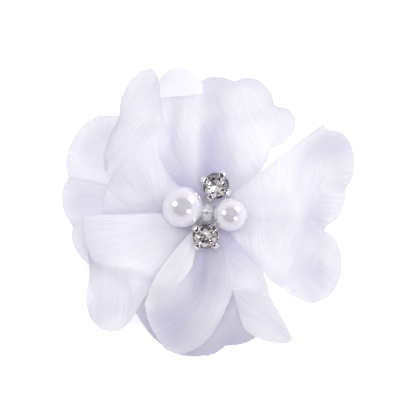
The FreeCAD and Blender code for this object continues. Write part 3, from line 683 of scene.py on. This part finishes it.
def felt_backing():
    """A die-cut felt round with soft edges, a slightly uneven surface and loose fibres."""
    radius, low, high, soft = 9.4, 7.55, 8.53, 0.35
    middle, half = (low + high) / 2, (high - low) / 2
    profile = [(r, low) for r in np.linspace(0.02, radius - soft, 34)]
    for t in np.linspace(-math.pi / 2, math.pi / 2, 11):
        profile.append((radius - soft + soft * math.cos(t), middle + half * math.sin(t)))
    profile += [(r, high) for r in np.linspace(radius - soft, 0.02, 34)]
    points, faces = round_about(profile, 180)
    p = np.array(points)
    bump = np.array([noise.noise(Vector(q) * 1.1) for q in p])
    fine = np.array([noise.noise(Vector(q) * 4.2) for q in p])
    away = np.linalg.norm(p[:, :2], axis=1)
    out = p[:, :2] / np.maximum(away, 0.01)[:, None]
    near_rim = np.clip((away - 8.6) / 0.8, 0, 1)
    p[:, :2] += out * ((0.07 * bump + 0.035 * fine) * near_rim)[:, None]
    inward = np.where(p[:, 2] > middle, -1, 1)
    p[:, 2] += inward * (0.03 + 0.03 * fine + 0.03 * bump) * (1 - near_rim)
    piece = make("felt_backing_disc", p, faces)

    fixed = np.random.default_rng(11)
    fibre_count, under_share = 420, 0.45
    parts = []
    for _ in range(fibre_count):
        turn = fixed.random() * 2 * math.pi
        under = fixed.random() < under_share
        r = fixed.uniform(4.2, 9.2) if under else radius - 0.04
        height = low + 0.03 if under else fixed.uniform(low + 0.1, high - 0.1)
        start = np.array([r * math.cos(turn), r * math.sin(turn), height])
        outward = np.array([math.cos(turn), math.sin(turn), 0])
        bend = fixed.normal(size=3) * 0.22
        reach = fixed.uniform(0.2, 0.5)
        lift = np.array([0, 0, -0.08]) if under else outward * 0.3
        hair = spline([start, start + lift * 0.6 + bend * 0.5, start + lift + bend * reach * 2], 6)
        hair[:, 2] = np.clip(hair[:, 2], low - 0.12, high + 0.02)
        parts.append(tube(hair, 0.012, sides=3, closed_ends=False))
    fibres = make("felt_backing_fibres", *joined(parts))
    for each in (piece, fibres):
        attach(each, FLOWER)
        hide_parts("felt_backing")
    return piece, fibres


def glue_pad():
    """Set glue pressed out between the arm and the felt: a rounded, uneven bead."""
    bottom, top = 7.0, 7.56
    middle, half = (bottom + top) / 2, (top - bottom) / 2
    steps = 160
    turn = np.linspace(0, 2 * math.pi, steps, endpoint=False)
    wide = 3.7 + 0.16 * np.sin(3 * turn + 0.7) + 0.1 * np.sin(7 * turn) + 0.06 * np.sin(13 * turn + 2)
    long = wide * np.sin(turn) + 4.4 * np.tanh(3 * np.sin(turn))
    outline = np.stack([wide * np.cos(turn), long], axis=1)
    # each ring is a share of the outline and a height
    rings = [(share, bottom) for share in np.linspace(0.02, 0.94, 12)]
    for t in np.linspace(-math.pi / 2, math.pi / 2, 12):
        rings.append((0.95 + 0.06 * math.cos(t), middle + half * math.sin(t)))
    rings += [(share, top) for share in np.linspace(0.94, 0.02, 12)]
    points = [(x * share, y * share, z) for share, z in rings for x, y in outline]
    piece = make("glue_pad_bead", points, grid_faces(len(rings), steps, wrap=True))
    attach(piece, FLOWER)
    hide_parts("glue_pad")
    return piece


# ---------------------------------------------------------------- torsion spring

HINGE = np.array([0, -6.0, 3.5])


def torsion_spring():
    """The same wire as the frame's spring: a helix about the pin with a straight leg along each arm."""
    coil, pitch, leg = 1.7, 0.8, 6.2  # radius of the coil, its rise in one turn, and a leg's length
    wire, cut_end = 0.35, 0.28  # radii
    first, last = math.radians(-84), math.radians(78 + 4 * 360)
    angle = np.linspace(first, last, 340)
    x = pitch * (angle - (first + last) / 2) / (2 * math.pi)
    helix = np.stack([x, coil * np.cos(angle), coil * np.sin(angle)], axis=1)
    climb = pitch / (2 * math.pi * coil)

    def along(turned):
        """The wire's direction where the coil has turned so far."""
        way = np.array([climb, -math.sin(turned), math.cos(turned)])
        return way / np.linalg.norm(way)

    leg_steps = np.linspace(1, 0, 30, endpoint=False)[:, None]
    foot = helix[0] - along(first) * leg * leg_steps
    hand = helix[-1] + along(last) * leg * leg_steps[::-1]
    path = np.vstack([foot, helix, hand]) + HINGE
    thick = np.full(len(path), wire)
    thick[0] = thick[-1] = cut_end
    points, faces = tube(path, thick, sides=18)
    piece = make("torsion_spring_wire", points, faces)
    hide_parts("torsion_spring")
    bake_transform(piece)
    return piece


# ---------------------------------------------------------------- materials


def material(name, **values):
    """A material and its shader, with sockets set by name; an underscore stands for a space."""
    made = bpy.data.materials.new(name)
    made.use_nodes = True
    tree = made.node_tree
    shader = tree.nodes["Principled BSDF"]
    for key, value in values.items():
        shader.inputs[key.replace("_", " ")].default_value = value
    return made, tree, shader


def node(tree, kind, **values):
    """A new node with its sockets, or its own settings, set by name."""
    made = tree.nodes.new(kind)
    for key, value in values.items():
        if key in made.inputs:
            made.inputs[key].default_value = value
        else:
            setattr(made, key, value)
    return made


def feed(tree, value, socket):
    """Links an output to a socket, or sets a plain value on it."""
    if isinstance(value, bpy.types.NodeSocket):
        tree.links.new(value, socket)
    else:
        socket.default_value = value


def ramp(tree, source, stops):
    """A colour for each value of the source, from stops of (value, colour)."""
    made = node(tree, "ShaderNodeValToRGB")
    ends = made.color_ramp.elements
    ends[0].position, ends[0].color = stops[0][0], (*stops[0][1], 1)
    ends[1].position, ends[1].color = stops[-1][0], (*stops[-1][1], 1)
    for place, colour in stops[1:-1]:
        ends.new(place).color = (*colour, 1)
    feed(tree, source, made.inputs[0])
    return made.outputs[0]


def maths(tree, operation, *operands):
    """A calculation on outputs or plain values."""
    made = node(tree, "ShaderNodeMath", operation=operation)
    for value, socket in zip(operands, made.inputs):
        feed(tree, value, socket)
    return made.outputs[0]


def mixed(tree, blend, share, first, second):
    """Two colours blended."""
    made = node(tree, "ShaderNodeMix", data_type="RGBA", blend_type=blend)
    # a Mix node's share is socket 0, its colours are sockets 6 and 7, and the mix is output 2
    for value, socket in ((share, 0), (first, 6), (second, 7)):
        feed(tree, value, made.inputs[socket])
    return made.outputs[2]


def stored(tree, name):
    """A number that the mesh stores under this name."""
    return node(tree, "ShaderNodeAttribute", attribute_name=name).outputs["Fac"]


def clouds(tree, where=None, **values):
    """Noise, in the object's own coordinates unless others are given."""
    made = node(tree, "ShaderNodeTexNoise", **values)
    feed(tree, where or node(tree, "ShaderNodeTexCoord").outputs["Object"], made.inputs["Vector"])
    return made.outputs["Fac"]


def relief(tree, height, strength, distance):
    """A bump from a height; distance is in metres."""
    made = node(tree, "ShaderNodeBump", Strength=strength, Distance=distance)
    feed(tree, height, made.inputs["Height"])
    return made.outputs[0]


# Chiffon's colours: over the ridges of its pleats, with painted shade in the grooves; in from its rim; by
# the stored painted shade; and by the stored painted greying.
BODY_AND_GROOVE_SHADE = [(0.3, (0.885, 0.88, 0.96)), (0.5, (0.93, 0.93, 0.975)), (0.7, (0.955, 0.957, 0.985))]
RIM = [(0.0, (0.91, 0.90, 0.93)), (0.5, (1.0, 1.0, 1.0))]
PAINTED_SHADE_TINTS = [(0.78, (0.71, 0.675, 0.85)), (0.86, (0.80, 0.777, 0.892)), (0.92, (0.868, 0.859, 0.901))]
PAINTED_SHADE_TINTS += [(1.0, (1.0, 1.0, 1.0))]
PAINTED_GREYS = [(0.0, (1.0, 1.0, 1.0)), (0.5, (0.868, 0.868, 0.875)), (1.0, (0.70, 0.695, 0.735))]
FOLDED_PAINTED_WHITE = (0.965, 0.97, 0.985, 1)


def chiffon():
    """Cloth that lets some light through, with fine soft pleats and uneven streaks along them."""
    matt = dict(Roughness=0.75, Sheen_Weight=0.2, Sheen_Roughness=0.4, IOR=1.3)
    made, tree, shader = material("chiffon", **matt)
    pleat = stored(tree, "pleat")
    cloth = node(tree, "ShaderNodeCombineXYZ")
    feed(tree, pleat, cloth.inputs[0])
    feed(tree, maths(tree, "MULTIPLY", stored(tree, "run"), 0.07), cloth.inputs[1])
    streak = clouds(tree, cloth.outputs[0], Scale=1.5, Detail=3.0, Roughness=0.62)
    weave = clouds(tree, Scale=9000.0, Detail=1.0)
    wave = maths(tree, "SINE", maths(tree, "MULTIPLY", pleat, 2 * math.pi))
    ridges = maths(tree, "ADD", streak, maths(tree, "MULTIPLY", wave, 0.045))
    bump = relief(tree, maths(tree, "ADD", ridges, maths(tree, "MULTIPLY", weave, 0.08)), 0.5, 0.00022)

    rim = ramp(tree, maths(tree, "MULTIPLY", stored(tree, "edge"), 2.5), RIM)
    # the cloth's own colour, painted a darker lavender in the grooves between the ridges: a painted shade
    colour = mixed(tree, "MULTIPLY", 1.0, ramp(tree, ridges, BODY_AND_GROOVE_SHADE), rim)
    # painted shade: the stored shade turns the colour towards a deeper lavender
    colour = mixed(tree, "MULTIPLY", 1.0, colour, ramp(tree, stored(tree, "shade"), PAINTED_SHADE_TINTS))
    # cloth folded over itself is painted whiter, a painted light, and lets less light through
    twice = stored(tree, "double")
    colour = mixed(tree, "MIX", maths(tree, "MULTIPLY", twice, 0.65), colour, FOLDED_PAINTED_WHITE)
    # painted shade: cloth that lies alone or under another petal is painted greyer
    colour = mixed(tree, "MULTIPLY", 1.0, colour, ramp(tree, stored(tree, "painted_grey"), PAINTED_GREYS))

    through = node(tree, "ShaderNodeBsdfTranslucent")
    for socket in (shader.inputs["Base Color"], through.inputs["Color"]):
        feed(tree, colour, socket)
    for socket in (shader.inputs["Normal"], through.inputs["Normal"]):
        feed(tree, bump, socket)
    blend = node(tree, "ShaderNodeMixShader")
    feed(tree, maths(tree, "MULTIPLY_ADD", twice, -0.18, 0.34), blend.inputs[0])
    feed(tree, shader.outputs[0], blend.inputs[1])
    feed(tree, through.outputs[0], blend.inputs[2])
    sheer = node(tree, "ShaderNodeMixShader", Fac=0.05)
    feed(tree, blend.outputs[0], sheer.inputs[1])
    feed(tree, node(tree, "ShaderNodeBsdfTransparent").outputs[0], sheer.inputs[2])
    feed(tree, sheer.outputs[0], tree.nodes["Material Output"].inputs["Surface"])
    return made


def metal(name, colour, roughness):
    """Plated metal with a faint grain drawn out along the clip."""
    made, tree, shader = material(name, Metallic=1.0, Base_Color=(*colour, 1))
    stretch = node(tree, "ShaderNodeMapping", Scale=(1.0, 0.12, 1.0))
    feed(tree, node(tree, "ShaderNodeTexCoord").outputs["Object"], stretch.inputs["Vector"])
    grain = clouds(tree, stretch.outputs[0], Scale=900.0, Detail=4.0)
    dull = ramp(tree, grain, [(0.3, (roughness * 0.7,) * 3), (0.75, (roughness * 1.5,) * 3)])
    feed(tree, dull, shader.inputs["Roughness"])
    feed(tree, relief(tree, grain, 0.3, 0.00001), shader.inputs["Normal"])
    return made


def pearl_coat():
    """Nacre: a cloudy half-metallic body under a clear coat, with a pale sheen towards its outline."""
    made, tree, shader = material(
        "pearl",
        Metallic=0.42,
        Roughness=0.16,
        Coat_Weight=0.7,
        Coat_Roughness=0.06,
        Coat_IOR=1.5,
        Sheen_Weight=0.4,
        Sheen_Roughness=0.35,
        Sheen_Tint=(0.96, 0.96, 1.0, 1),
    )
    nacre = [(0.35, (0.89, 0.862, 0.925)), (0.65, (0.92, 0.892, 0.955))]
    feed(tree, ramp(tree, clouds(tree, Scale=420.0, Detail=3.0), nacre), shader.inputs["Base Color"])
    return made


def crystal():
    """Clear lead glass with faint strain clouds in its polish."""
    tint = (1.0, 0.99, 0.985, 1)
    made, tree, shader = material("crystal", Transmission_Weight=1.0, IOR=1.56, Base_Color=tint)
    polish = [(0.4, (0.0, 0.0, 0.0)), (0.8, (0.03, 0.03, 0.03))]
    feed(tree, ramp(tree, clouds(tree, Scale=900.0, Detail=2.0), polish), shader.inputs["Roughness"])
    return made


def foil():
    """The silvered back of a stone, painted a little darker and browner on some facets: painted dark
    reflections, and tarnish on the foil.
    """
    made, tree, shader = material("crystal_foil", Metallic=1.0, Roughness=0.04)
    cloudy = clouds(tree, Scale=2500.0, Detail=2.0)
    silver = [(0.1, (0.32, 0.25, 0.21)), (0.35, (0.70, 0.63, 0.58)), (0.55, (0.96, 0.93, 0.91))]
    silver += [(1.0, (0.99, 0.98, 0.98))]
    facet = maths(tree, "MULTIPLY_ADD", cloudy, 0.25, stored(tree, "shade"))
    feed(tree, ramp(tree, facet, silver), shader.inputs["Base Color"])
    return made


def plain(name, low, high, scale, depth, **values):
    """A mottled material from a low colour to a high one, with a relief of some depth in metres."""
    made, tree, shader = material(name, **values)
    cloudy = clouds(tree, Scale=scale, Detail=6.0)
    feed(tree, ramp(tree, cloudy, [(0.3, low), (0.7, high)]), shader.inputs["Base Color"])
    feed(tree, relief(tree, cloudy, 0.6, depth), shader.inputs["Normal"])
    return made


CHIFFON = chiffon()
STEEL = metal("clip_steel", (0.60, 0.60, 0.62), 0.24)
WIRE = metal("spring_steel", (0.46, 0.46, 0.48), 0.3)
CHROME = metal("claw_metal", (0.95, 0.93, 0.92), 0.17)
PEARL = pearl_coat()
FUZZY = dict(Roughness=0.95, Sheen_Weight=0.6)
FELT = plain("felt", (0.80, 0.80, 0.81), (0.93, 0.93, 0.94), 2600.0, 0.0003, **FUZZY)
MILKY = dict(Roughness=0.3, Subsurface_Weight=0.3)
GLUE = plain("hot_glue", (0.80, 0.77, 0.68), (0.88, 0.86, 0.79), 300.0, 0.0001, **MILKY)
THREAD = plain("thread", (0.85, 0.85, 0.87), (0.96, 0.96, 0.97), 5000.0, 0.0001, Roughness=0.7)
CRYSTAL = crystal()
FOIL = foil()


def dress(name, coat):
    """Gives a material to a piece that comes straight from the frame."""
    for slot in bpy.data.objects[name].material_slots:
        slot.link = "OBJECT"
        slot.material = coat


for which in ("lower_arm", "upper_arm", "hinge_pin"):
    dress(which, STEEL)
for which in ("pearl_large", "pearl_small"):
    dress(which, PEARL)
torsion_spring().data.materials.append(WIRE)
bead_thread().data.materials.append(THREAD)
flower_base().data.materials.append(CHIFFON)
for soft in felt_backing():
    soft.data.materials.append(FELT)
glue_pad().data.materials.append(GLUE)
for which in SEATS:
    setting(which).data.materials.append(CHROME)
    cut = stone(which)
    cut.data.materials.append(CRYSTAL)
    cut.data.materials.append(FOIL)

for seed, (name, spec) in enumerate(PETALS.items()):
    petal(name, spec, seed).data.materials.append(CHIFFON)

# ---------------------------------------------------------------- floor, lights, camera

EDGE = 900  # half the floor's width, in millimetres
corners = [(-EDGE, -EDGE, 0), (EDGE, -EDGE, 0), (EDGE, EDGE, 0), (-EDGE, EDGE, 0)]
floor = make("floor", corners, [(0, 1, 2, 3)])
WHITE = (1, 1, 1, 1)
BRIGHT = dict(Roughness=0.9, Base_Color=(0.9, 0.9, 0.9, 1), Emission_Color=WHITE, Emission_Strength=0.33)
floor.data.materials.append(material("floor", **BRIGHT)[0])

world = bpy.data.worlds.new("studio")
bpy.context.scene.world = world
world.use_nodes = True
# bright low walls all round and a dimmer ceiling, as in a white tent with the camera above
sky = world.node_tree
height = node(sky, "ShaderNodeSeparateXYZ")
feed(sky, node(sky, "ShaderNodeTexCoord").outputs["Generated"], height.inputs[0])
TENT = [(0.0, (0.86, 0.84, 0.92)), (0.45, (0.95, 0.93, 1.0))]
TENT += [(0.62, (0.28, 0.26, 0.29)), (0.72, (0.12, 0.11, 0.12))]
feed(sky, ramp(sky, height.outputs["Z"], TENT), sky.nodes["Background"].inputs["Color"])
sky.nodes["Background"].inputs["Strength"].default_value = 0.75

AIM = Vector((0, 0, 0.012))  # the point every lamp faces, in metres


def softbox(name, where, width, depth, power):
    """A round soft lamp; its place and size are in metres and its power in watts."""
    lamp = bpy.data.lights.new(name, "AREA")
    lamp.shape = "ELLIPSE"
    lamp.size, lamp.size_y = width, depth
    lamp.energy = power
    box = bpy.data.objects.new(name, lamp)
    bpy.context.scene.collection.objects.link(box)
    box.location = where
    box.rotation_euler = (AIM - Vector(where)).to_track_quat("-Z", "Y").to_euler()
    return box


softbox("key", (0.30, 0.25, 0.17), 0.22, 0.19, 0.38)
softbox("overhead", (-0.27, 0.11, 0.30), 0.18, 0.18, 0.27)
softbox("fill", (0.25, -0.17, 0.32), 0.14, 0.14, 0.26)
# a wide soft light fills the folds, and is left out of reflections so that the pearls keep dark centres
softbox("ceiling", (0.04, 0.08, 0.75), 0.5, 0.5, 3.1).visible_glossy = False

SENSOR = 36  # width of the camera's sensor, in millimetres
DISTANCE = 0.5  # from the camera to the flower's face, in metres
PICTURE = 0.0728  # width of the picture at the flower's face, in metres
FACE = 0.016  # height of the flower's face, in metres
lens = bpy.data.cameras.new("camera")
lens.sensor_width = SENSOR
lens.lens = SENSOR / (PICTURE / DISTANCE)
lens.clip_start = 0.01
eye = bpy.data.objects.new("camera", lens)
bpy.context.scene.collection.objects.link(eye)
bpy.context.scene.camera = eye
eye.location = (0.0002, 0.0009, FACE + DISTANCE)
eye.rotation_euler = (0, 0, 0)

bpy.context.scene.view_settings.view_transform = "Standard"
